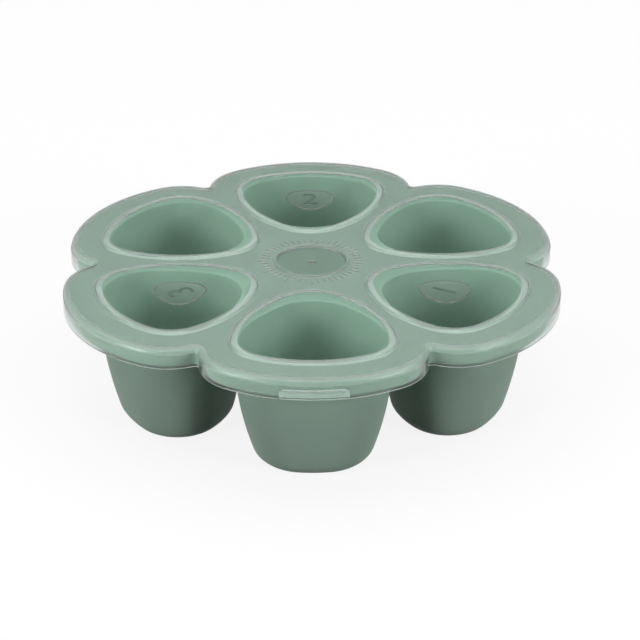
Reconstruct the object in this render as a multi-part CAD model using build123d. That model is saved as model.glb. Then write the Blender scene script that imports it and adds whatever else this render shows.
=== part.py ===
from build123d import *
from math import atan2, cos, degrees, hypot, radians, sin, sqrt
import os

# A six-cup silicone freezer tray with a lift-off lid, in millimetres, +Z up.
# The origin is on the standing plane below the middle. The front cup points to -Y.

# Cups in turn, counterclockwise seen from above, and those under a marked window
cup_names = [
    "cup_front",
    "cup_front_right",
    "cup_back_right",
    "cup_back",
    "cup_back_left",
    "cup_front_left",
]
marked_cups = ["cup_front_right", "cup_back", "cup_front_left"]
front_angle = -90
lobe_angle = 360 / len(cup_names)

# Heights that set the whole
tray_height = 54.0
skirt_height = 8.5

# Lid outline: round lobes with a tight notch between neighbours
lid_tip_radius = 107.5
lobe_arc_share = 0.605
lobe_corner_share = 0.2186
notch_reach_share = 0.851
notch_radius = 1.8

# Lid wall and edge
lid_wall = 1.2
shoulder_radius = 2.5

# Raised windows of the lid: round-sided triangles, one vertex to the middle
# Their arcs are shares of the length from vertex to outer side, as the cup mouths' are
rim_width = 12.5
hub_radius = 27.5
window_corner_angle = 11.9
window_corner_share = 0.2667
window_vertex_share = 0.2741
window_outer_share = 0.8148
window_side_share = 0.8148
window_rise = 0.7
window_slope_width = 3.6

# Small raised plates on the marked windows
tag_size_share = 0.315
tag_rise = 0.4

# Round medallion in the middle of the lid
medallion_radius = 15.8
medallion_rim_width = 1.2
medallion_rim_rise = 0.35
medallion_dish_depth = 0.5
gate_radius = 1.3
gate_rise = 0.45

# Tray deck and its downturned lip
skirt_gap = 1.4
seat_clearance = 0.3
deck_thickness = 2.5
lip_depth = 7.2
lip_wall = 3.0
lip_round = 0.9

# Thumb pad on the inside of the skirt at the front, clear of the tray's lip
thumb_pad_width = 24
thumb_pad_height = 3.0
thumb_pad_clearance = 0.4

# Cup mouths, set in from the window above
mouth_outer_margin = 4.0
mouth_inner_margin = 8.5
mouth_corner_angle = 8.5
mouth_corner_share = 0.3455
mouth_vertex_share = 0.3455
mouth_outer_share = 0.9545
mouth_side_share = 1.0364
mouth_round = 1.5

# Cups below the deck, whose sides curve in to a smaller, rounder foot
cup_wall = 2.2
cup_floor = 2.4
cup_levels = 5
foot_outer_inset = 8.6
foot_inner_inset = 8.3
foot_corner_angle = 3.5
foot_corner_share = 0.422
foot_vertex_share = 0.44
foot_outer_share = 1.285
foot_side_share = 0.963
foot_round = 5.8

# Cuts run past what they cut by this much
overrun = 5

# Levels worked out from the sizes above
deck_top = tray_height
deck_underside = deck_top - deck_thickness
lid_underside = deck_top + seat_clearance
lid_top = lid_underside + lid_wall
skirt_bottom = lid_top - skirt_height


def polar(reach, angle):
    """Point at a distance and an angle from the middle."""
    return (reach * cos(radians(angle)), reach * sin(radians(angle)))


def heading(start, end):
    """Angle of the line from one point to another."""
    return degrees(atan2(end[1] - start[1], end[0] - start[0]))


def circle_meeting(first, first_radius, second, second_radius):
    """Point at given distances from two points, on the right of the line from first to second."""
    span = hypot(second[0] - first[0], second[1] - first[1])
    along = (first_radius**2 - second_radius**2 + span**2) / (2 * span)
    across = sqrt(first_radius**2 - along**2)
    ux = (second[0] - first[0]) / span
    uy = (second[1] - first[1]) / span
    return (first[0] + along * ux + across * uy, first[1] + along * uy - across * ux)


def arc(center, radius, start, end):
    """Arc about a center from one heading to another, the short way round."""
    sweep = (end - start + 180) % 360 - 180
    return CenterArc(center, radius, start, sweep)


def lobed_face(offset):
    """Lid outline moved outward by an offset, as a face at height zero."""
    tip_arc = lobe_arc_share * lid_tip_radius
    corner = lobe_corner_share * lid_tip_radius
    tip_center = (lid_tip_radius - tip_arc, 0)
    notch_center = polar(notch_reach_share * lid_tip_radius + notch_radius, lobe_angle / 2)
    corner_center = circle_meeting(tip_center, tip_arc - corner, notch_center, corner + notch_radius)
    mirrored = (corner_center[0], -corner_center[1])
    spread = heading(tip_center, corner_center)
    to_notch = heading(corner_center, notch_center)
    notch_start = to_notch + 180
    notch_end = 180 + lobe_angle - to_notch
    lobe = [
        arc(mirrored, corner + offset, -to_notch, -spread),
        arc(tip_center, tip_arc + offset, -spread, spread),
        arc(corner_center, corner + offset, spread, to_notch),
        arc(notch_center, notch_radius - offset, notch_start, notch_end),
    ]
    turns = [front_angle + index * lobe_angle for index in range(len(cup_names))]
    return make_face([Rot(Z=turn) * edge for turn in turns for edge in lobe])


class Petal:
    """Round-sided triangle on a lobe's axis, along +X, with one vertex to the middle."""

    def __init__(self, tip, vertex, corner_angle, corner_share, vertex_share, outer_share, side_share):
        length = tip - vertex
        self.corner_radius = corner_share * length
        self.vertex_radius = vertex_share * length
        self.outer_radius = outer_share * length
        self.side_radius = side_share * length
        self.middle = (tip + vertex) / 2
        self.outer_center = (tip - self.outer_radius, 0)
        self.vertex_center = (vertex + self.vertex_radius, 0)
        along, across = polar(self.outer_center[0], corner_angle)
        reach = along + sqrt((self.outer_radius - self.corner_radius) ** 2 - across**2)
        self.corner_center = polar(reach, corner_angle)
        self.side_center = circle_meeting(
            self.vertex_center,
            self.side_radius - self.vertex_radius,
            self.corner_center,
            self.side_radius - self.corner_radius,
        )

    def face(self, offset, height):
        """The outline moved outward by an offset, as a face at a height."""
        corner, side = self.corner_center, self.side_center
        corner_low = (corner[0], -corner[1])
        side_low = (side[0], -side[1])
        spread = heading(self.outer_center, corner)
        turn = heading(side, corner)
        finish = heading(side, self.vertex_center)
        edges = [
            arc(self.outer_center, self.outer_radius + offset, -spread, spread),
            arc(corner, self.corner_radius + offset, spread, turn),
            arc(side, self.side_radius + offset, turn, finish),
            arc(self.vertex_center, self.vertex_radius + offset, finish, -finish),
            arc(side_low, self.side_radius + offset, -finish, -turn),
            arc(corner_low, self.corner_radius + offset, -turn, -spread),
        ]
        return Pos(Z=height) * make_face(edges)


window_tip = lid_tip_radius - rim_width
window = Petal(
    window_tip,
    hub_radius,
    window_corner_angle,
    window_corner_share,
    window_vertex_share,
    window_outer_share,
    window_side_share,
)
mouth_form = [
    window_tip - mouth_outer_margin,
    hub_radius + mouth_inner_margin,
    mouth_corner_angle,
    mouth_corner_share,
    mouth_vertex_share,
    mouth_outer_share,
    mouth_side_share,
]
foot_form = [
    mouth_form[0] - foot_outer_inset,
    mouth_form[1] + foot_inner_inset,
    foot_corner_angle,
    foot_corner_share,
    foot_vertex_share,
    foot_outer_share,
    foot_side_share,
]
mouth = Petal(*mouth_form)
lobes = {name: Rot(Z=front_angle + index * lobe_angle) for index, name in enumerate(cup_names)}


def block(face, low, high):
    """Straight solid over a face between two heights."""
    return extrude(Pos(Z=low) * face, high - low, dir=(0, 0, 1))


def cup_section(height):
    """Cup outline at a height: the mouth's at the deck, then curving in faster and faster to the foot's."""
    blend = ((deck_top - height) / deck_top) ** 2
    return Petal(*[(1 - blend) * high + blend * low for high, low in zip(mouth_form, foot_form)])


def cup_form(offset, bottom, corner_round):
    """Solid inside a cup's sides, from a bottom with a rounded edge up to the deck's underside."""
    step = (deck_underside - bottom) / cup_levels
    heights = [bottom + level * step for level in range(cup_levels + 1)]
    form = loft([cup_section(height).face(offset, height) for height in heights])
    return fillet(form.faces().sort_by(Axis.Z)[0].edges(), corner_round)


def make_cup():
    """One cup on the lobe axis, open at the top."""
    return cup_form(cup_wall, 0, foot_round) - cup_form(0, cup_floor, foot_round - cup_wall)


def make_deck():
    """Flange with six mouths and a downturned lip round the edge."""
    flange = lobed_face(-lid_wall - skirt_gap)
    inside = lobed_face(-lid_wall - skirt_gap - lip_wall)
    lip_bottom = deck_top - lip_depth
    deck = block(flange, lip_bottom, deck_top) - block(inside, lip_bottom - overrun, deck_underside)
    rim = deck.faces().sort_by(Axis.Z)
    deck = fillet([rim[-1].outer_wire().edges(), rim[0].outer_wire().edges()], lip_round)
    for place in lobes.values():
        deck -= place * block(mouth.face(0, 0), deck_underside - overrun, deck_top + overrun)
    mouth_edges = [edge for wire in deck.faces().sort_by(Axis.Z)[-1].inner_wires() for edge in wire.edges()]
    return fillet(mouth_edges, mouth_round)


def window_form(level):
    """Low plateau of one window, standing on a level."""
    return loft([window.face(0, level), window.face(-window_slope_width, level + window_rise)], ruled=True)


def make_tag():
    """Small raised plate at the middle of a window, of the window's own shape."""
    outline = Pos(X=(1 - tag_size_share) * window.middle) * scale(window.face(0, 0), by=tag_size_share)
    pane_top = lid_top + window_rise
    return block(outline, pane_top - lid_wall / 2, pane_top + tag_rise)


def make_medallion(plate):
    """Dish, thin rim and gate mark in the middle of a lid plate."""
    dish_edge = medallion_radius - medallion_rim_width
    ball = (dish_edge**2 + medallion_dish_depth**2) / (2 * medallion_dish_depth)
    rim = Circle(medallion_radius) - Circle(dish_edge)
    plate += block(rim, lid_top, lid_top + medallion_rim_rise)
    plate -= Pos(Z=lid_top - medallion_dish_depth + ball) * Sphere(ball)
    gate_foot = lid_top - medallion_dish_depth - gate_rise
    return plate + block(Circle(gate_radius), gate_foot, lid_top - medallion_dish_depth + gate_rise)


def make_thumb_pad():
    """Thicker stretch of the skirt at the front, down to its lower edge."""
    inside = lobed_face(-lid_wall - skirt_gap + thumb_pad_clearance)
    ring = block(lobed_face(-lid_wall / 2) - inside, skirt_bottom, skirt_bottom + thumb_pad_height)
    front = Box(thumb_pad_width, lid_tip_radius, tray_height, align=(Align.CENTER, Align.MAX, Align.MIN))
    return ring & front


def make_lid():
    """Lobed cap with raised windows, marked plates, a medallion and a thumb pad."""
    outer = block(lobed_face(0), skirt_bottom, lid_top)
    outer = fillet(outer.faces().sort_by(Axis.Z)[-1].edges(), shoulder_radius)
    inner = block(lobed_face(-lid_wall), skirt_bottom - overrun, lid_underside)
    inner = fillet(inner.faces().sort_by(Axis.Z)[-1].edges(), shoulder_radius - lid_wall)
    lid = outer - inner + make_thumb_pad()
    for name, place in lobes.items():
        lid += place * window_form(lid_top)
        lid -= place * window_form(lid_underside)
        if name in marked_cups:
            lid += place * make_tag()
    return make_medallion(lid)


os.makedirs("parts", exist_ok=True)
cup = make_cup()
for name, place in lobes.items():
    export_step(place * cup, f"parts/{name}.step")
export_step(make_deck(), "parts/tray_deck.step")
export_step(make_lid(), "parts/lid.step")
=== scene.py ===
"""Dresses the six-cup freezer mold: one silicone tray, its translucent lid, and a pale studio stage."""

from math import atan2, cos, pi, radians, sin, sqrt

import bmesh
import bpy
from bpy.props import FloatProperty, FloatVectorProperty, PointerProperty
from mathutils import Matrix, Vector


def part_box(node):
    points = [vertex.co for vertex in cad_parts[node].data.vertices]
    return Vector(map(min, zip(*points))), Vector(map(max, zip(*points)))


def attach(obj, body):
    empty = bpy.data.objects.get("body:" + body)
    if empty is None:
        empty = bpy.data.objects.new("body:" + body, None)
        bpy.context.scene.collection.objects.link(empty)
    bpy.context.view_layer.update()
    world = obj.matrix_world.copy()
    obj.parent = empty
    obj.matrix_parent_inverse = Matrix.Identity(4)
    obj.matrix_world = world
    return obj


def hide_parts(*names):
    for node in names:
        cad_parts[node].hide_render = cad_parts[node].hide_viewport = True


bl_info = {
    "name": "Six-cup freezer mold",
    "version": (1, 0, 0),
    "blender": (4, 5, 0),
    "location": "View3D > Sidebar > Freezer Mold",
    "description": "Builds a silicone freezer mold, its translucent lid and a stage over the packed frame",
    "category": "Object",
}

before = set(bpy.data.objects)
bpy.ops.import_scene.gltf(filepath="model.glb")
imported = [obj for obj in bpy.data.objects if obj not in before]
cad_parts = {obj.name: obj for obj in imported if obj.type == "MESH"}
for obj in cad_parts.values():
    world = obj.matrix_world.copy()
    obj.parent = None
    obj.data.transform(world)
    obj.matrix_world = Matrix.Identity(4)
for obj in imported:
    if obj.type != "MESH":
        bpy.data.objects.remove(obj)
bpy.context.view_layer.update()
lid_low, lid_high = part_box("lid")
deck_low, deck_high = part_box("tray_deck")

# Cups in turn, counterclockwise seen from above, from the front one
CUPS = ("cup_front", "cup_front_right", "cup_back_right", "cup_back", "cup_back_left", "cup_front_left")
MARKS = {"cup_front_right": "1", "cup_back": "2", "cup_front_left": "3"}
LOBE = 2 * pi / len(CUPS)
FRONT = -pi / 2

# How finely round stretches are cut
TIP_STEPS = 36
CORNER_STEPS = 18
NOTCH_STEPS = 8
PETAL_STEPS = 20
CIRCLE_STEPS = 96
BEND_STEPS = 8
DISH_STEPS = 10
CUP_SIDE_STEPS = 16

# Steps of a window's round-over, from the pane outward, that are paler: a painted highlight on partly
# frosted plastic
HIGHLIGHT_STEPS = 5

# Width of the narrow ring of faces that keeps a flat flat beside a bend
BORDER = 0.0003


def length(name, description, default):
    """A size in metres that a user may change."""
    return FloatProperty(name=name, description=description, default=default, unit="LENGTH", precision=4)


def share(name, description, default):
    """A proportion that a user may change."""
    return FloatProperty(
        name=name, description=description, default=default, subtype="FACTOR", min=0, soft_max=2
    )


def angle(name, description, default):
    """An angle that a user may change, given in degrees."""
    return FloatProperty(name=name, description=description, default=radians(default), unit="ROTATION")


def colour(name, description, default):
    """A colour that a user may change."""
    return FloatVectorProperty(
        name=name, description=description, default=default, subtype="COLOR", min=0, max=1
    )


def spot(name, description, default):
    """A place in metres that a user may change."""
    return FloatVectorProperty(
        name=name, description=description, default=default, subtype="TRANSLATION", unit="LENGTH"
    )


def watts(name, description, default):
    """A lamp's power in watts that a user may change."""
    return FloatProperty(name=name, description=description, default=default, unit="POWER", min=0)


class MoldOutline(bpy.types.PropertyGroup):
    """Flower outline that the lid and the tray share."""

    tip_radius: length("Tip radius", "From the middle to the end of a lobe", lid_high[1])
    lobe_arc_share: share("Lobe arc", "End's radius, as a share of the tip radius", 0.605)
    lobe_corner_share: share("Lobe corner", "Shoulder's radius, as a share of the tip radius", 0.2186)
    notch_reach_share: share("Notch reach", "Middle to notch, as a share of the tip radius", 0.851)
    notch_radius: length("Notch radius", "Round in the notch between two lobes", 0.0018)


class LidSettings(bpy.types.PropertyGroup):
    """Sizes and finish of the lid."""

    wall: length("Wall", "Thickness of the lid", 0.0012)
    seat: length("Seat", "Gap between the tray and the lid above it", 0.0003)
    shoulder: length("Shoulder", "Round between the top and the skirt", 0.0025)
    edge_round: length("Edge round", "Round on the skirt's lower edge", 0.0003)
    pad_width: length("Thumb pad width", "Width of the thumb pad inside the skirt at the front", 0.024)
    pad_height: length("Thumb pad height", "Height of the thumb pad above the skirt's lower edge", 0.003)
    pad_depth: length("Thumb pad depth", "How far the thumb pad stands in from the skirt", 0.001)
    pad_end: length("Thumb pad end", "Length over which the thumb pad ends", 0.0003)
    rim_width: length("Rim width", "From a lobe's end to its window", 0.0125)
    hub_radius: length("Hub radius", "From the middle to a window", 0.0275)
    window_corner_angle: angle("Window corner angle", "Between a lobe's axis and its window's corner", 11.9)
    window_corner_share: share("Window corner", "Radius, as a share of the window's length", 0.2667)
    window_vertex_share: share("Window vertex", "Radius, as a share of the window's length", 0.2741)
    window_outer_share: share("Window outer side", "Radius, as a share of the window's length", 0.8148)
    window_side_share: share("Window side", "Radius, as a share of the window's length", 0.8148)
    window_rise: length("Window rise", "How far a window stands above the top", 0.0007)
    window_slope: length("Window slope", "Width of the round-over at a window's edge", 0.0036)
    window_foot: length("Window foot", "Height of the steep foot of a window's edge", 0.00015)
    window_side_wall: length("Window side wall", "Thickness of the wall round a window", 0.0011)
    tag_share: share("Tag size", "Size of a number plate, as a share of its window", 0.315)
    tag_rim_rise: length("Tag rim rise", "Height of a number plate's rim", 0.0002)
    tag_field_rise: length("Tag field rise", "Height of a number plate inside its rim", 0.00012)
    tag_rim_width: length("Tag rim width", "Width of a number plate's rim", 0.0006)
    number_height: length("Number height", "Height of the figure on a plate", 0.016)
    number_rise: length("Number rise", "How far the figure stands out", 0.00016)
    medallion_radius: length("Medallion radius", "Radius of the dish in the middle", 0.0158)
    medallion_rim: length("Medallion rim", "Width of the dish's rim", 0.0012)
    medallion_rim_rise: length("Medallion rim rise", "Height of the dish's rim", 0.00035)
    medallion_depth: length("Medallion depth", "Depth of the dish", 0.0005)
    gate_radius: length("Gate radius", "Radius of the moulding gate's mark", 0.0013)
    gate_rise: length("Gate rise", "Height of the moulding gate's mark", 0.00045)
    tick_start: length("Tick start", "From the middle to the ring of ticks", 0.0178)
    tick_long: length("Long tick", "Length of every fourth tick", 0.0050)
    tick_short: length("Short tick", "Length of the other ticks", 0.0034)
    tick_width: length("Tick width", "Width of a tick", 0.0007)
    tick_rise: length("Tick rise", "Height of a tick", 0.0002)
    tint: colour("Tint", "Colour of the plastic", (0.92, 0.985, 0.955))
    lamp_share: share("Lamp share", "How much of a lamp's light passes through each face", 0.89)


class TraySettings(bpy.types.PropertyGroup):
    """Sizes and finish of the tray."""

    skirt_gap: length("Skirt gap", "Between the lid's skirt and the tray's lip", 0.0014)
    deck_thickness: length("Deck thickness", "Thickness of the tray's top", 0.0025)
    lip_wall: length("Lip wall", "Thickness of the downturned lip", 0.003)
    lip_round: length("Lip round", "Round on the lip's outer edges", 0.0009)
    lip_inner_round: length("Lip inner round", "Round on the lip's inner edge", 0.0004)
    mouth_outer_margin: length("Mouth outer margin", "From a window's outer side in to the mouth", 0.004)
    mouth_inner_margin: length("Mouth inner margin", "From a window's vertex out to the mouth", 0.0085)
    mouth_corner_angle: angle("Mouth corner angle", "Between a lobe's axis and its mouth's corner", 8.5)
    mouth_corner_share: share("Mouth corner", "Radius, as a share of the mouth's length", 0.3455)
    mouth_vertex_share: share("Mouth vertex", "Radius, as a share of the mouth's length", 0.3455)
    mouth_outer_share: share("Mouth outer side", "Radius, as a share of the mouth's length", 0.9545)
    mouth_side_share: share("Mouth side", "Radius, as a share of the mouth's length", 1.0364)
    mouth_round: length("Mouth round", "Round on a mouth's edge", 0.0008)
    cup_wall: length("Cup wall", "Thickness of a cup's side", 0.0022)
    cup_floor: length("Cup floor", "Thickness of a cup's floor", 0.0024)
    cup_neck_round: length("Cup neck round", "Round between a cup and the deck", 0.002)
    foot_outer_inset: length("Foot outer inset", "From the mouth's outer side in to the foot's", 0.0086)
    foot_inner_inset: length("Foot inner inset", "From the mouth's vertex out to the foot's", 0.0083)
    foot_corner_angle: angle("Foot corner angle", "Between a lobe's axis and its foot's corner", 3.5)
    foot_corner_share: share("Foot corner", "Radius, as a share of the foot's length", 0.422)
    foot_vertex_share: share("Foot vertex", "Radius, as a share of the foot's length", 0.44)
    foot_outer_share: share("Foot outer side", "Radius, as a share of the foot's length", 1.285)
    foot_side_share: share("Foot side", "Radius, as a share of the foot's length", 0.963)
    foot_round: length("Foot round", "Round between a cup's side and its foot", 0.0058)
    silicone: colour("Silicone", "Colour of the silicone", (0.305, 0.425, 0.352))


class StageSettings(bpy.types.PropertyGroup):
    """Floor, light and camera."""

    floor_radius: length("Floor radius", "Radius of the floor", 4.0)
    backdrop_height: length("Backdrop height", "Height of the floor's upturned rim", 0.5)
    floor_colour: colour("Floor colour", "Colour of light that the floor throws back", (0.08, 0.08, 0.08))
    floor_glow: share("Floor glow", "How much of its white is its own, which keeps shadows faint", 0.87)
    sky_strength: share("Sky strength", "Light from all round", 0.045)
    top_place: spot("Top place", "Where the lamp overhead hangs", (0, 0.3, 1.5))
    top_width: length("Top width", "Width of the lamp overhead", 3.0)
    top_depth: length("Top depth", "Depth of the lamp overhead", 1.6)
    top_power: watts("Top power", "Lamp overhead", 27.0)
    side_place: spot("Side place", "Where the lamp at the right stands, its twin opposite", (1.6, -1.2, 0.7))
    side_width: length("Side width", "Width of the lamp at each side", 0.8)
    side_depth: length("Side depth", "Height of the lamp at each side", 0.6)
    side_power: watts("Side power", "Lamp at each side", 21.3)
    camera_place: spot("Camera place", "Where the camera stands", (-0.0095, -0.9359, 0.4938))
    camera_pitch: angle("Camera pitch", "How far the camera looks down", 26.467)
    camera_yaw: angle("Camera yaw", "How far the camera looks to the right", 0.798)
    camera_lens: FloatProperty(name="Camera lens", description="Focal length", default=139.4, unit="CAMERA")


# Outlines are lists of points in the plane, and profiles give each ring's offset and height


def polar(reach, turn):
    """Point at a distance and an angle from the middle."""
    return Vector((reach * cos(turn), reach * sin(turn)))


def heading(start, end):
    """Angle of the line from one point to another."""
    return atan2(end.y - start.y, end.x - start.x)


def mirrored(point):
    """The same point on the other side of the lobe's axis."""
    return Vector((point.x, -point.y))


def turned(points, turn):
    """Points turned about the middle."""
    spin = Matrix.Rotation(turn, 2)
    return [spin @ point for point in points]


def lobe_turn(cup):
    """Angle of a cup's lobe."""
    return FRONT + CUPS.index(cup) * LOBE


def spaced(start, end, steps):
    """Even values from start to end, both included."""
    return [start + (end - start) * step / steps for step in range(steps + 1)]


def circle_meeting(first, first_radius, second, second_radius):
    """Point at given distances from two points, on the right of the line from first to second."""
    span = (second - first).length
    along = (first_radius**2 - second_radius**2 + span**2) / (2 * span)
    across = sqrt(first_radius**2 - along**2)
    ahead = (second - first) / span
    return first + along * ahead + across * Vector((ahead.y, -ahead.x))


def arc(center, radius, start, end, steps):
    """Points of an arc, the short way round, without its last one."""
    sweep = (end - start + pi) % (2 * pi) - pi
    return [center + polar(radius, turn) for turn in spaced(start, start + sweep, steps)[:-1]]


def circle(radius):
    """Round outline about the middle, as a function of its offset."""
    turns = spaced(2 * pi, 0, CIRCLE_STEPS)[:-1]
    return lambda offset: [polar(radius + offset, turn) for turn in turns]


def lobed(shape, stops=()):
    """Flower outline as a function of its offset. Stops are extra angles for points on each lobe's end."""
    tip_arc = shape.lobe_arc_share * shape.tip_radius
    corner = shape.lobe_corner_share * shape.tip_radius
    notch = shape.notch_radius
    tip_center = Vector((shape.tip_radius - tip_arc, 0))
    notch_center = polar(shape.notch_reach_share * shape.tip_radius + notch, LOBE / 2)
    corner_center = circle_meeting(tip_center, tip_arc - corner, notch_center, corner + notch)
    spread = heading(tip_center, corner_center)
    to_notch = heading(corner_center, notch_center)
    turns = sorted(spaced(-spread, spread, TIP_STEPS)[:-1] + list(stops))

    def outline(offset):
        lobe = arc(mirrored(corner_center), corner + offset, -to_notch, -spread, CORNER_STEPS)
        lobe += [tip_center + polar(tip_arc + offset, turn) for turn in turns]
        lobe += arc(corner_center, corner + offset, spread, to_notch, CORNER_STEPS)
        lobe += arc(notch_center, notch - offset, to_notch + pi, pi + LOBE - to_notch, NOTCH_STEPS)
        return [point for cup in CUPS for point in turned(lobe, lobe_turn(cup))]

    return outline


class Petal:
    """Round-sided triangle on a lobe's axis, with one vertex to the middle."""

    def __init__(self, tip, vertex, corner_angle, corner_share, vertex_share, outer_share, side_share):
        span = tip - vertex
        self.middle = (tip + vertex) / 2
        self.corner_radius = corner_share * span
        self.vertex_radius = vertex_share * span
        self.outer_radius = outer_share * span
        self.side_radius = side_share * span
        self.outer_center = Vector((tip - self.outer_radius, 0))
        self.vertex_center = Vector((vertex + self.vertex_radius, 0))
        across = self.outer_center.x * sin(corner_angle)
        along = self.outer_center.x * cos(corner_angle)
        reach = along + sqrt((self.outer_radius - self.corner_radius) ** 2 - across**2)
        self.corner_center = polar(reach, corner_angle)
        self.side_center = circle_meeting(
            self.vertex_center,
            self.side_radius - self.vertex_radius,
            self.corner_center,
            self.side_radius - self.corner_radius,
        )

    def points(self, offset):
        """The outline along +X, moved outward by an offset."""
        spread = heading(self.outer_center, self.corner_center)
        turn = heading(self.side_center, self.corner_center)
        finish = heading(self.side_center, self.vertex_center)
        corner, side = self.corner_radius + offset, self.side_radius + offset
        points = arc(self.outer_center, self.outer_radius + offset, -spread, spread, PETAL_STEPS)
        points += arc(self.corner_center, corner, spread, turn, PETAL_STEPS)
        points += arc(self.side_center, side, turn, finish, PETAL_STEPS)
        points += arc(self.vertex_center, self.vertex_radius + offset, finish, -finish, PETAL_STEPS)
        points += arc(mirrored(self.side_center), side, -finish, -turn, PETAL_STEPS)
        points += arc(mirrored(self.corner_center), corner, -turn, -spread, PETAL_STEPS)
        return points

    def at(self, turn, size=1):
        """The outline on a lobe, shrunk about its own middle, as a function of its offset."""
        middle = Vector(((1 - size) * self.middle, 0))
        return lambda offset: turned([middle + size * point for point in self.points(offset / size)], turn)


def tick(start, end, width, turn):
    """Outline of a round-ended radial tick, as a function of its offset."""
    near, far = Vector((start + width / 2, 0)), Vector((end - width / 2, 0))

    def outline(offset):
        radius = width / 2 + offset
        ends = [far + polar(radius, side) for side in spaced(-pi / 2, pi / 2, BEND_STEPS // 2)]
        ends += [near + polar(radius, side) for side in spaced(pi / 2, 3 * pi / 2, BEND_STEPS // 2)]
        return turned(ends, turn)

    return outline


def bend(offset, height, radius, start, end, rise=None):
    """Profile round a bend, between two angles in degrees. With a rise of its own it is an ellipse."""
    rise = radius if rise is None else rise
    turns = spaced(radians(start), radians(end), BEND_STEPS)
    return [(offset + radius * cos(turn), height + rise * sin(turn)) for turn in turns]


class Skin:
    """A closed mesh in the making: rings of points, strips between them and flat fills."""

    def __init__(self):
        self.mesh = bmesh.new()
        self.finish = 0

    def ring(self, points, height):
        """New points at a height."""
        return [self.mesh.verts.new((point.x, point.y, height)) for point in points]

    def join(self, first, second):
        """Faces between two rings."""
        for index in range(len(first)):
            face = self.mesh.faces.new((first[index - 1], first[index], second[index], second[index - 1]))
            face.material_index = self.finish

    def loft(self, sections):
        """Rings of points at their heights, joined in turn. Gives the first and the last."""
        rings = [self.ring(points, height) for points, height in sections]
        for first, second in zip(rings, rings[1:]):
            self.join(first, second)
        return rings[0], rings[-1]

    def sweep(self, outline, profile):
        """Rings of one outline along a profile. Gives the first and the last."""
        return self.loft([(outline(offset), height) for offset, height in profile])

    def fill(self, *rings):
        """Flat faces inside the first ring and round the others."""
        edges = []
        for ring in rings:
            for index in range(len(ring)):
                ends = (ring[index - 1], ring[index])
                edges.append(self.mesh.edges.get(ends) or self.mesh.edges.new(ends))
        flat = bmesh.ops.triangle_fill(self.mesh, use_beauty=True, edges=edges, normal=(0, 0, 1))
        for face in flat["geom"]:
            if isinstance(face, bmesh.types.BMFace):
                face.material_index = self.finish

    def piece(self, name, *materials):
        """The finished mesh as an object, closed all round."""
        if any(not edge.is_manifold for edge in self.mesh.edges):
            raise RuntimeError(f"{name} isn't closed")
        return self.object(name, *materials)

    def object(self, name, *materials):
        """The mesh as it is, as an object."""
        bmesh.ops.recalc_face_normals(self.mesh, faces=self.mesh.faces)
        for face in self.mesh.faces:
            face.smooth = True
        data = bpy.data.meshes.new(name)
        self.mesh.to_mesh(data)
        self.mesh.free()
        return place(name, data, *materials)


def place(name, data, *materials):
    """A mesh as an object of the scene, in its materials."""
    for material in materials:
        data.materials.append(material)
    piece = bpy.data.objects.new(name, data)
    bpy.context.scene.collection.objects.link(piece)
    return piece


# Materials


def add_node(tree, kind, inputs=None, **settings):
    """A node with its settings, and its inputs set to values or linked to sockets."""
    made = tree.nodes.new(kind)
    for name, value in settings.items():
        setattr(made, name, value)
    for name, value in (inputs or {}).items():
        if isinstance(value, bpy.types.NodeSocket):
            tree.links.new(value, made.inputs[name])
        else:
            made.inputs[name].default_value = value
    return made


def moulded_grain():
    """Node group for the fine grain and the broad, soft patches of a moulded surface."""
    name = "Moulded grain"
    if name in bpy.data.node_groups:
        return bpy.data.node_groups[name]
    group = bpy.data.node_groups.new(name, "ShaderNodeTree")
    for socket in ("Grain Size", "Patch Size"):
        group.interface.new_socket(socket, in_out="INPUT", socket_type="NodeSocketFloat")
    for socket in ("Grain", "Patch"):
        group.interface.new_socket(socket, in_out="OUTPUT", socket_type="NodeSocketFloat")
    given = group.nodes.new("NodeGroupInput")
    result = group.nodes.new("NodeGroupOutput")
    where = group.nodes.new("ShaderNodeTexCoord").outputs["Object"]
    for size, output, detail in (("Grain Size", "Grain", 4), ("Patch Size", "Patch", 2)):
        scale = add_node(group, "ShaderNodeMath", {0: 1, 1: given.outputs[size]}, operation="DIVIDE")
        noise = add_node(
            group, "ShaderNodeTexNoise", {"Vector": where, "Scale": scale.outputs[0], "Detail": detail}
        )
        group.links.new(noise.outputs["Fac"], result.inputs[output])
    return group


def new_material(name):
    """An empty material: its tree, its Principled shader and the shared grain."""
    material = bpy.data.materials.new(name)
    material.use_nodes = True
    tree = material.node_tree
    grain = add_node(tree, "ShaderNodeGroup", node_tree=moulded_grain())
    return material, tree, tree.nodes["Principled BSDF"], grain


def ranged(tree, value, low, high):
    """A value from 0 to 1 mapped on a range."""
    spread = add_node(tree, "ShaderNodeMapRange", {"Value": value, "To Min": low, "To Max": high})
    return spread.outputs["Result"]


def mixed(tree, value, first, second):
    """A colour between two, by a value from 0 to 1."""
    mix = add_node(tree, "ShaderNodeMix", data_type="RGBA")
    factor, first_colour, second_colour = mix.inputs[0], mix.inputs[6], mix.inputs[7]
    tree.links.new(value, factor)
    first_colour.default_value = (*first, 1)
    second_colour.default_value = (*second, 1)
    return mix.outputs[2]


def larger(tree, first, second):
    """The larger of two values."""
    return add_node(tree, "ShaderNodeMath", {0: first, 1: second}, operation="MAXIMUM").outputs[0]


def grained(tree, grain, strength, depth):
    """A surface's normals, roughened by the fine grain."""
    heights = {"Strength": strength, "Distance": depth, "Height": grain.outputs["Grain"]}
    return add_node(tree, "ShaderNodeBump", heights).outputs["Normal"]


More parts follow.
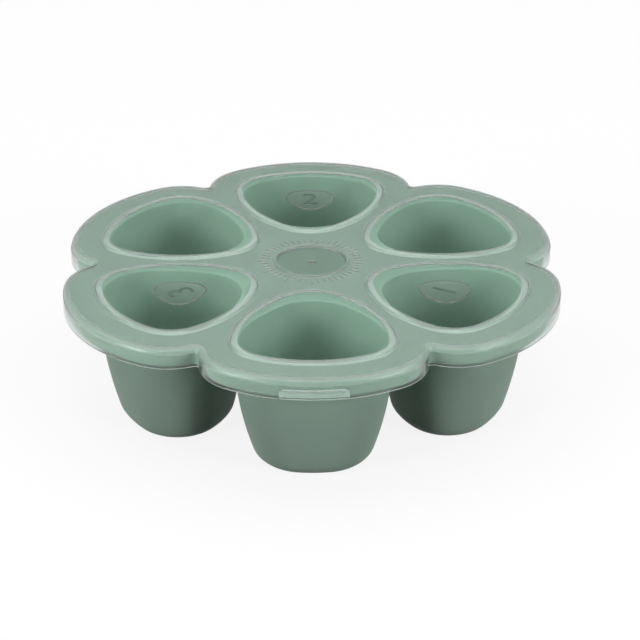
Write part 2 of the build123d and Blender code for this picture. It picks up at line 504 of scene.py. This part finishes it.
def silicone_material(silicone):
    """Soft matte silicone: a fine moulded grain, and broad patches that are a little duller or paler."""
    material, tree, shader, grain = new_material("Sage silicone")
    grain.inputs["Grain Size"].default_value = 0.0005
    grain.inputs["Patch Size"].default_value = 0.018
    patch = grain.outputs["Patch"]
    deep_share, pale_share = 0.94, 1.06
    deep = [deep_share * part for part in silicone]
    pale = [pale_share * part for part in silicone]
    tree.links.new(mixed(tree, patch, deep, pale), shader.inputs["Base Color"])
    tree.links.new(ranged(tree, patch, 0.5, 0.66), shader.inputs["Roughness"])
    tree.links.new(grained(tree, grain, 0.25, 0.00012), shader.inputs["Normal"])
    shader.inputs["IOR"].default_value = 1.41
    shader.inputs["Specular IOR Level"].default_value = 0.2
    shader.inputs["Subsurface Weight"].default_value = 0.15
    shader.inputs["Subsurface Radius"].default_value = (0.7, 1.0, 0.85)
    shader.inputs["Subsurface Scale"].default_value = 0.002
    shader.inputs["Sheen Weight"].default_value = 0.06
    shader.inputs["Sheen Roughness"].default_value = 0.5
    return material


def lid_plastic(name, tint, roughness, clearness, coat, lamp_share):
    """Translucent moulded plastic with a soft gloss and faint flow patches. Lamps shine through it."""
    if name in bpy.data.materials:
        return bpy.data.materials[name]
    material, tree, shader, grain = new_material(name)
    grain.inputs["Grain Size"].default_value = 0.0009
    grain.inputs["Patch Size"].default_value = 0.012
    glossy_share, dull_share = 0.8, 1.2
    patch = ranged(tree, grain.outputs["Patch"], glossy_share * roughness, dull_share * roughness)
    tree.links.new(patch, shader.inputs["Roughness"])
    tree.links.new(grained(tree, grain, 0.1, 0.0001), shader.inputs["Normal"])
    shader.inputs["Base Color"].default_value = (*tint, 1)
    shader.inputs["IOR"].default_value = 1.49
    shader.inputs["Transmission Weight"].default_value = clearness
    shader.inputs["Coat Weight"].default_value = coat
    shader.inputs["Coat Roughness"].default_value = 0.12
    path = tree.nodes.new("ShaderNodeLightPath").outputs
    through = add_node(tree, "ShaderNodeBsdfTransparent", {"Color": (lamp_share, lamp_share, lamp_share, 1)})
    mix = add_node(
        tree, "ShaderNodeMixShader", {0: path["Is Shadow Ray"], 1: shader.outputs[0], 2: through.outputs[0]}
    )
    tree.links.new(mix.outputs[0], tree.nodes["Material Output"].inputs["Surface"])
    return material


# Some of these are lighter or darker copies of the one plastic: painted highlight and painted shade.
# The lid's finishes: name, brightness, depth of tint, roughness, share of clear plastic and gloss
FINISHES_AND_PAINTED_LIGHT = (
    ("Milky lid plastic", 0.85, 1, 0.22, 0.95, 0.3),
    ("Clear lid plastic", 1, 1.6, 0.07, 1.0, 0.0),
    # Paler and more frosted: painted highlight on the window round-overs and the skirt's lower edge, partly
    # frosted plastic
    ("Frosted lid edge, painted highlight", 1, 1, 0.25, 0.78, 0.3),
    # Rougher and more frosted on the shoulder, a little paler as a painted highlight on its crest
    ("Soft lid shoulder, painted crest highlight", 0.9, 1.5, 0.4, 0.87, 0.0),
    # Darker copy on the skirt: painted shade
    ("Lid skirt, painted shade", 0.68, 1.5, 0.14, 1.0, 0.0),
    # Darker copy in the dish and on the figures: painted shade
    ("Darkened lid plastic, painted shade", 0.62, 2, 0.1, 1.0, 0.0),
    ("Thick lid plastic", 0.6, 3, 0.3, 0.2, 0.3),
)
MILKY, CLEAR, FROST_AND_HIGHLIGHT, SOFT_AND_HIGHLIGHT, SKIRT_SHADE, DEEP_SHADE, THICK = range(len(FINISHES_AND_PAINTED_LIGHT))


def lid_finishes_and_painted_light(lid):
    """The lid's materials, in the order of its finishes, which include painted highlight and painted shade.
    """
    materials = []
    for name, brightness, depth, roughness, clearness, coat in FINISHES_AND_PAINTED_LIGHT:
        tint = [brightness * part**depth for part in lid.tint]
        materials.append(lid_plastic(name, tint, roughness, clearness, coat, lid.lamp_share))
    return materials


# Pieces


def window_petal(shape, lid):
    """Outline of a lid window."""
    return Petal(
        shape.tip_radius - lid.rim_width,
        lid.hub_radius,
        lid.window_corner_angle,
        lid.window_corner_share,
        lid.window_vertex_share,
        lid.window_outer_share,
        lid.window_side_share,
    )


def cup_section(shape, lid, tray, height):
    """Outline of a cup's inside at a height: the mouth's at the deck, then ever faster in to the foot's."""
    tip = shape.tip_radius - lid.rim_width - tray.mouth_outer_margin
    vertex = lid.hub_radius + tray.mouth_inner_margin
    mouth = (
        tip,
        vertex,
        tray.mouth_corner_angle,
        tray.mouth_corner_share,
        tray.mouth_vertex_share,
        tray.mouth_outer_share,
        tray.mouth_side_share,
    )
    foot = (
        tip - tray.foot_outer_inset,
        vertex + tray.foot_inner_inset,
        tray.foot_corner_angle,
        tray.foot_corner_share,
        tray.foot_vertex_share,
        tray.foot_outer_share,
        tray.foot_side_share,
    )
    blend = ((deck_high[2] - height) / deck_high[2]) ** 2
    return Petal(*[(1 - blend) * high + blend * low for high, low in zip(mouth, foot)])


def pad_stops(shape, lid):
    """Angles on a lobe's end where the thumb pad's ends start and stop."""
    tip_arc = shape.lobe_arc_share * shape.tip_radius
    half = lid.pad_width / 2
    return [sign * side / tip_arc for sign in (-1, 1) for side in (half - lid.pad_end, half)]


def add_lid_edge(skin, shape, lid, top, foot):
    """The lid's soft shoulder and its skirt with the thumb pad; painted highlight on the crest and the foot,
    painted shade on the skirt. Gives its two end rings.
    """
    shoulder, wall, edge = lid.shoulder, lid.wall, lid.edge_round
    outline = lobed(shape, pad_stops(shape, lid))
    half = (lid.pad_width - lid.pad_end) / 2

    def over_pad(point):
        return point.y < 0 and abs(point.x) < half

    def padded(offset):
        points, deeper = outline(offset), outline(offset - lid.pad_depth)
        return [inner if over_pad(point) else point for point, inner in zip(points, deeper)]

    over = [(-shoulder - BORDER, top)] + bend(-shoulder, top - shoulder, shoulder, 90, 0)
    skirt = bend(-edge, foot + edge, edge, 0, -90)
    pad = bend(edge - wall, foot + edge, edge, -90, -180) + [(-wall, foot + lid.pad_height)]
    under = [(-wall, foot + lid.pad_height + lid.pad_end)]
    under += bend(-shoulder, top - shoulder, shoulder - wall, 0, 90) + [(-shoulder - BORDER, top - wall)]
    # Shoulder: rougher, more frosted plastic, a little paler as a painted highlight on the crest
    skin.finish = SOFT_AND_HIGHLIGHT
    top_edge, over_end = skin.sweep(outline, over)
    # The skirt's lower edge: paler, a painted highlight on partly frosted plastic
    skin.finish = FROST_AND_HIGHLIGHT
    skirt_start, skirt_end = skin.sweep(outline, skirt)
    # The skirt outside and inside: a darker copy of the plastic, painted shade
    skin.finish = SKIRT_SHADE
    pad_start, pad_end = skin.loft([(padded(offset), height) for offset, height in pad])
    under_start, under_edge = skin.sweep(outline, under)
    for first, second in ((over_end, skirt_start), (skirt_end, pad_start), (pad_end, under_start)):
        skin.join(first, second)
    for vert in pad_start + pad_end:
        if over_pad(vert.co):
            for face in vert.link_faces:
                face.material_index = THICK
    skin.finish = MILKY
    return top_edge, under_edge


def window_edge(lid, level, inset):
    """Profile of a window's edge: a short steep foot, then a gentle slope that rounds over to the pane."""
    foot = lid.window_foot
    run, rise = lid.window_slope - foot - inset, lid.window_rise - foot
    profile = [(BORDER - inset, level), (-inset, level), (-inset - foot / 2, level + foot)]
    for part in spaced(0, 1, BEND_STEPS)[1:]:
        profile.append((-inset - foot - part * run, level + foot + rise * (part * (3 - part) / 2)))
    return profile


def add_window_edge(skin, outline, lid, level):
    """A window's edge, milky at its foot and paler where it rounds over, a painted highlight on partly
    frosted plastic. Gives its outer and inner rings.
    """
    profile = window_edge(lid, level, 0)
    middle = len(profile) - HIGHLIGHT_STEPS
    foot, waist = skin.sweep(outline, profile[:middle])
    # The round-over next to the pane: paler, a painted highlight on partly frosted plastic
    skin.finish = FROST_AND_HIGHLIGHT
    rise, brow = skin.sweep(outline, profile[middle:])
    skin.join(waist, rise)
    skin.finish = MILKY
    return foot, brow


def add_tag(skin, outline, lid, level):
    """A number plate: a thin raised rim round a lower field. Gives the ring to cut out of the pane."""
    half, rim, field = lid.tag_rim_width / 2, lid.tag_rim_rise, lid.tag_field_rise
    profile = [(BORDER, level)]
    profile += bend(-half, level, half, 0, 90, rim)
    profile += bend(-half, level + field, half, 90, 180, rim - field)[1:]
    profile += [(-2 * half - BORDER, level + field)]
    base, middle = skin.sweep(outline, profile)
    skin.fill(middle)
    return base


def add_medallion(skin, lid, top):
    """The dish in the middle, with its rim and the gate's mark. Gives the ring to cut out of the top."""
    dish = lid.medallion_radius - lid.medallion_rim
    ball = (dish**2 + lid.medallion_depth**2) / (2 * lid.medallion_depth)
    floor = top - lid.medallion_depth
    rim = [(BORDER, top)]
    rim += bend(-lid.medallion_rim / 2, top, lid.medallion_rim / 2, 0, 180, lid.medallion_rim_rise)
    profile = []
    for reach in spaced(dish, lid.gate_radius, DISH_STEPS)[1:]:
        profile.append((reach - lid.medallion_radius, floor + ball - sqrt(ball**2 - reach**2)))
    gate = bend(-lid.medallion_radius, floor, lid.gate_radius, 0, 90, lid.gate_rise)
    profile += [(offset, max(height, profile[-1][1])) for offset, height in gate[1:-1]]
    outline = circle(lid.medallion_radius)
    base, brink = skin.sweep(outline, rim)
    # The dish's slope and the gate's mark: a darker copy of the plastic, painted shade
    skin.finish = DEEP_SHADE
    slope, middle = skin.sweep(outline, profile)
    skin.join(brink, slope)
    skin.fill(middle)
    skin.finish = MILKY
    return base


def add_ticks(skin, lid, top):
    """A ring of low radial ticks round the medallion. Gives the rings to cut out of the top."""
    bases = []
    ticks, long_every, round_share = 48, 4, 0.4
    round_over = round_share * lid.tick_width
    for index in range(ticks):
        size = lid.tick_short if index % long_every else lid.tick_long
        outline = tick(lid.tick_start, lid.tick_start + size, lid.tick_width, 2 * pi * index / ticks)
        profile = [(BORDER, top)] + bend(-round_over, top, round_over, 0, 90, lid.tick_rise)
        base, crest = skin.sweep(outline, profile)
        skin.fill(crest)
        bases.append(base)
    return bases


def build_lid(shape, lid):
    """The lid as one closed mesh: top, skirt, windows, number plates, medallion and ticks."""
    top = deck_high[2] + lid.seat + lid.wall
    under = top - lid.wall
    window = window_petal(shape, lid)
    skin = Skin()
    top_edge, under_edge = add_lid_edge(skin, shape, lid, top, lid_low[2])
    top_holes = [add_medallion(skin, lid, top)] + add_ticks(skin, lid, top)
    under_holes = []
    for cup in CUPS:
        outline = window.at(lobe_turn(cup))
        foot, brow = add_window_edge(skin, outline, lid, top)
        under_foot, under_brow = skin.sweep(outline, window_edge(lid, under, lid.window_side_wall))
        top_holes.append(foot)
        under_holes.append(under_foot)
        plates = []
        if cup in MARKS:
            tag = window.at(lobe_turn(cup), lid.tag_share)
            plates.append(add_tag(skin, tag, lid, top + lid.window_rise))
        skin.finish = CLEAR
        pane_offset = -lid.window_slope - BORDER
        pane = skin.ring(outline(pane_offset), top + lid.window_rise)
        under_pane = skin.ring(outline(pane_offset), under + lid.window_rise)
        skin.join(brow, pane)
        skin.join(under_brow, under_pane)
        skin.fill(pane, *plates)
        skin.fill(under_pane)
        skin.finish = MILKY
    skin.fill(top_edge, *top_holes)
    skin.fill(under_edge, *under_holes)
    return skin.piece("lid_shell", *lid_finishes_and_painted_light(lid))


def build_number(shape, lid, cup):
    """The raised figure on one number plate, with its top to the lobe's end."""
    text = bpy.data.curves.new(f"lid_number_{MARKS[cup]}", "FONT")
    text.body = MARKS[cup]
    text.size = lid.number_height
    text.align_x = text.align_y = "CENTER"
    text.extrude = lid.number_rise
    holder = bpy.data.objects.new(text.name, text)
    bpy.context.scene.collection.objects.link(holder)
    data = bpy.data.meshes.new_from_object(holder.evaluated_get(bpy.context.evaluated_depsgraph_get()))
    bpy.data.objects.remove(holder)
    mesh = bmesh.new()
    mesh.from_mesh(data)
    weld = lid.number_rise / 10
    bmesh.ops.remove_doubles(mesh, verts=mesh.verts, dist=weld)
    mesh.to_mesh(data)
    mesh.free()
    field = deck_high[2] + lid.seat + lid.wall + lid.window_rise + lid.tag_field_rise
    middle = window_petal(shape, lid).middle
    turn = Matrix.Rotation(lobe_turn(cup), 4, "Z")
    stand = Matrix.Translation((middle, 0, field)) @ Matrix.Rotation(-pi / 2, 4, "Z")
    data.transform(turn @ stand)
    # The figure in a darker copy of the plastic: painted shade
    return place(text.name, data, lid_finishes_and_painted_light(lid)[DEEP_SHADE])


def tray_edge(lid, tray):
    """Profile of the tray's edge: from the deck over the lip, round its foot and back below the deck."""
    top, foot = deck_high[2], deck_low[2]
    under = top - tray.deck_thickness
    outside = -lid.wall - tray.skirt_gap
    inside = outside - tray.lip_wall
    lip, inner = tray.lip_round, tray.lip_inner_round
    profile = [(outside - lip - BORDER, top)]
    profile += bend(outside - lip, top - lip, lip, 90, 0)
    profile += bend(outside - lip, foot + lip, lip, 0, -90)
    profile += bend(inside + inner, foot + inner, inner, -90, -180)
    profile += bend(inside - inner, under - inner, inner, 0, 90)
    return profile + [(inside - inner - BORDER, under)]


def cup_side(offset, start, bottom, foot_round):
    """Profile down a cup's side from a height, then round into its bottom."""
    profile = [(offset, height) for height in spaced(start, bottom + foot_round, CUP_SIDE_STEPS)[:-1]]
    profile += bend(offset - foot_round, bottom + foot_round, foot_round, 0, -90)
    return profile + [(profile[-1][0] - BORDER, bottom)]


def build_tray(shape, lid, tray):
    """The tray as one closed skin: deck, downturned lip and six cups."""
    top = deck_high[2]
    under = top - tray.deck_thickness
    skin = Skin()
    deck_edge, under_edge = skin.sweep(lobed(shape), tray_edge(lid, tray))
    mouth, neck = tray.mouth_round, tray.cup_neck_round
    inside = [(mouth + BORDER, top)] + bend(mouth, top - mouth, mouth, 90, 180)[:-1]
    inside += cup_side(0, top - mouth, tray.cup_floor, tray.foot_round - tray.cup_wall)
    reach = tray.cup_wall + neck
    outside = [(reach + BORDER, under)] + bend(reach, under - neck, neck, 90, 180)[:-1]
    outside += cup_side(tray.cup_wall, under - neck, 0, tray.foot_round)
    deck_holes, under_holes = [], []
    for cup in CUPS:
        for side, holes in ((inside, deck_holes), (outside, under_holes)):
            sections = []
            for offset, height in side:
                outline = cup_section(shape, lid, tray, height).at(lobe_turn(cup))
                sections.append((outline(offset), height))
            hole, bottom = skin.loft(sections)
            skin.fill(bottom)
            holes.append(hole)
    skin.fill(deck_edge, *deck_holes)
    skin.fill(under_edge, *under_holes)
    return skin.piece("tray_skin", silicone_material(tray.silicone))


# Stage


def floor_material(stage):
    """Pale floor: white to the camera, in gloss and through the lid, and partly its own light."""
    material, tree, shader, grain = new_material("Pale floor")
    grain.inputs["Grain Size"].default_value = 0.01
    grain.inputs["Patch Size"].default_value = 0.5
    tree.links.new(ranged(tree, grain.outputs["Patch"], 0.8, 0.9), shader.inputs["Roughness"])
    shader.inputs["Specular IOR Level"].default_value = 0
    path = tree.nodes.new("ShaderNodeLightPath").outputs
    glass = larger(tree, path["Is Glossy Ray"], path["Is Transmission Ray"])
    seen = larger(tree, path["Is Camera Ray"], glass)
    white = (1, 1, 1)
    tree.links.new(mixed(tree, seen, stage.floor_colour, white), shader.inputs["Base Color"])
    part = add_node(tree, "ShaderNodeMath", {0: seen, 1: stage.floor_glow}, operation="MULTIPLY")
    glow = add_node(tree, "ShaderNodeEmission", {"Color": (*white, 1), "Strength": 1})
    shaders = {0: part.outputs[0], 1: shader.outputs[0], 2: glow.outputs[0]}
    mix = add_node(tree, "ShaderNodeMixShader", shaders)
    tree.links.new(mix.outputs[0], tree.nodes["Material Output"].inputs["Surface"])
    return material


def build_floor(stage):
    """A wide pale floor whose rim curves up into a low backdrop."""
    skin = Skin()
    bend_radius = stage.backdrop_height
    profile = bend(-bend_radius, bend_radius, bend_radius, 0, -90) + [(-bend_radius - BORDER, 0)]
    _, flat = skin.sweep(circle(stage.floor_radius), profile)
    skin.fill(flat)
    return skin.object("floor", floor_material(stage))


def light_sky(stage):
    """Even light from all round."""
    world = bpy.data.worlds.new("Studio")
    world.use_nodes = True
    sky = world.node_tree.nodes["Background"]
    sky.inputs["Color"].default_value = (1, 1, 1, 1)
    sky.inputs["Strength"].default_value = stage.sky_strength
    bpy.context.scene.world = world


def add_lamp(name, position, width, depth, power):
    """A soft oblong lamp aimed at the mold."""
    lamp = bpy.data.lights.new(name, "AREA")
    lamp.shape = "RECTANGLE"
    lamp.size, lamp.size_y = width, depth
    lamp.energy = power
    holder = bpy.data.objects.new(name, lamp)
    holder.location = position
    holder.rotation_euler = (-Vector(position)).to_track_quat("-Z", "Y").to_euler()
    bpy.context.scene.collection.objects.link(holder)


def add_camera(stage):
    """The camera at the photograph's viewing angle."""
    data = bpy.data.cameras.new("camera")
    data.sensor_width = 36
    data.lens = stage.camera_lens
    data.clip_end = 20
    camera = bpy.data.objects.new("camera", data)
    camera.location = stage.camera_place
    camera.rotation_euler = (pi / 2 - stage.camera_pitch, 0, -stage.camera_yaw)
    bpy.context.scene.collection.objects.link(camera)
    bpy.context.scene.camera = camera


class MOLD_OT_build_tray(bpy.types.Operator):
    """Build the silicone tray over its CAD solids"""

    bl_idname = "freezer_mold.build_tray"
    bl_label = "Build Tray"

    def execute(self, context):
        scene = context.scene
        piece = build_tray(scene.mold_outline, scene.mold_lid, scene.mold_tray)
        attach(piece, "tray")
        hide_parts("tray_deck", *CUPS)
        return {"FINISHED"}


class MOLD_OT_build_lid(bpy.types.Operator):
    """Build the translucent lid over its CAD solid"""

    bl_idname = "freezer_mold.build_lid"
    bl_label = "Build Lid"

    def execute(self, context):
        piece = build_lid(context.scene.mold_outline, context.scene.mold_lid)
        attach(piece, "lid")
        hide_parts("lid")
        return {"FINISHED"}


class MOLD_OT_build_numbers(bpy.types.Operator):
    """Build the raised figures on the lid's number plates"""

    bl_idname = "freezer_mold.build_numbers"
    bl_label = "Build Numbers"

    def execute(self, context):
        for cup in MARKS:
            piece = build_number(context.scene.mold_outline, context.scene.mold_lid, cup)
            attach(piece, "lid")
        return {"FINISHED"}


class MOLD_OT_set_stage(bpy.types.Operator):
    """Set the floor, the light and the camera"""

    bl_idname = "freezer_mold.set_stage"
    bl_label = "Set Stage"

    def execute(self, context):
        stage = context.scene.mold_stage
        context.scene.view_settings.view_transform = "Standard"
        build_floor(stage)
        light_sky(stage)
        add_lamp("top", stage.top_place, stage.top_width, stage.top_depth, stage.top_power)
        across, ahead, up = stage.side_place
        for name, side in (("left", -across), ("right", across)):
            add_lamp(name, (side, ahead, up), stage.side_width, stage.side_depth, stage.side_power)
        add_camera(stage)
        return {"FINISHED"}


class MOLD_PT_sidebar(bpy.types.Panel):
    """Lists the freezer mold's pieces and settings"""

    bl_idname = "MOLD_PT_sidebar"
    bl_label = "Freezer Mold"
    bl_space_type = "VIEW_3D"
    bl_region_type = "UI"
    bl_category = "Freezer Mold"

    def draw(self, context):
        for operator in OPERATORS:
            self.layout.operator(operator.bl_idname)
        for name in SETTINGS:
            settings = getattr(context.scene, name)
            box = self.layout.box()
            for key in settings.__annotations__:
                box.prop(settings, key)


SETTINGS = {
    "mold_outline": MoldOutline,
    "mold_lid": LidSettings,
    "mold_tray": TraySettings,
    "mold_stage": StageSettings,
}
OPERATORS = (MOLD_OT_build_tray, MOLD_OT_build_lid, MOLD_OT_build_numbers, MOLD_OT_set_stage)
CLASSES = (*SETTINGS.values(), *OPERATORS, MOLD_PT_sidebar)


def register():
    for kind in CLASSES:
        bpy.utils.register_class(kind)
    for name, kind in SETTINGS.items():
        setattr(bpy.types.Scene, name, PointerProperty(type=kind))


def unregister():
    for name in SETTINGS:
        delattr(bpy.types.Scene, name)
    for kind in reversed(CLASSES):
        bpy.utils.unregister_class(kind)


def main():
    register()
    bpy.ops.freezer_mold.build_tray()
    bpy.ops.freezer_mold.build_lid()
    bpy.ops.freezer_mold.build_numbers()
    bpy.ops.freezer_mold.set_stage()


if __name__ == "__main__":
    main()
